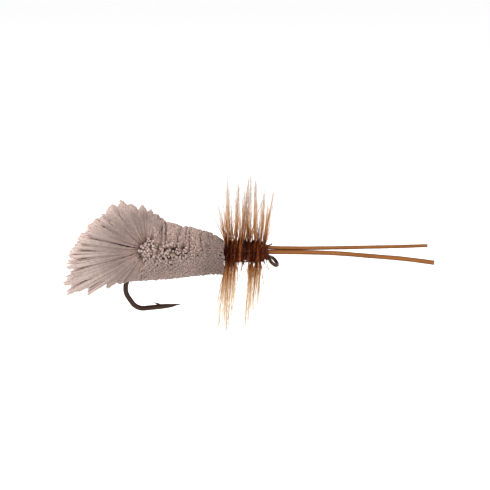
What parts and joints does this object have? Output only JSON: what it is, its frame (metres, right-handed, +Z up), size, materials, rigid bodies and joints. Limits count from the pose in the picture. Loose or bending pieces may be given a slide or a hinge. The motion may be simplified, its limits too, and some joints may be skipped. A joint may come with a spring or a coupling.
{
  "type": "dry fly",
  "caption": "Floating fishing fly with a clipped hair body, flared rear hair fan, brown hackle collar, quill antennae and a barbed down-eye hook.",
  "frame": {"origin": "centre of the hook eye", "axes": "+X from the bend to the eye and on along the antennae, +Z up with the hook point below the shank, +Y to the fly's left"},
  "size_m": [0.0373, 0.0165, 0.0165],
  "materials": {
    "hook_wire": "gloss",
    "body_thread": "satin",
    "head_thread": "satin",
    "deer_hair": "matte",
    "hackle_stem": "satin",
    "hackle_barb": "satin",
    "stripped_quill": "satin"
  },
  "bodies": {
    "fly": {"hook": "hook_wire", "rear_thread_base": "body_thread", "thread_band_1": "body_thread", "thread_band_2": "body_thread", "thread_band_3": "body_thread", "thread_band_4": "body_thread", "thread_band_5": "body_thread", "thread_band_6": "body_thread", "rear_hair_fan": "deer_hair", "hair_bundle_2": "deer_hair", "hair_bundle_3": "deer_hair", "hair_bundle_4": "deer_hair", "hair_bundle_5": "deer_hair", "hair_bundle_6": "deer_hair", "antenna_butts": "stripped_quill", "head_thread_base": "head_thread", "whip_finish": "head_thread", "hackle_quill_rear": "hackle_stem", "hackle_quill_front": "hackle_stem", "hackle_barbs_rear": "hackle_barb", "hackle_barbs_front": "hackle_barb", "hackle_tip_stub": "hackle_stem"},
    "antenna_upper": {"antenna_upper": "stripped_quill"},
    "antenna_lower": {"antenna_lower": "stripped_quill"}
  },
  "joints": [
    {"name": "antenna_upper_flex", "type": "hinge", "parent": "fly", "child": "antenna_upper", "pos_m": [-0.00036, 0.00005, 0.00139], "axis": [0, 0, 1], "range_deg": [-30, 30], "stiffness_Nm_per_rad": 0.0006},
    {"name": "antenna_lower_flex", "type": "hinge", "parent": "fly", "child": "antenna_lower", "pos_m": [-0.00036, -0.00015, 0.00097], "axis": [0, 0, 1], "range_deg": [-30, 30], "stiffness_Nm_per_rad": 0.0006}
  ]
}
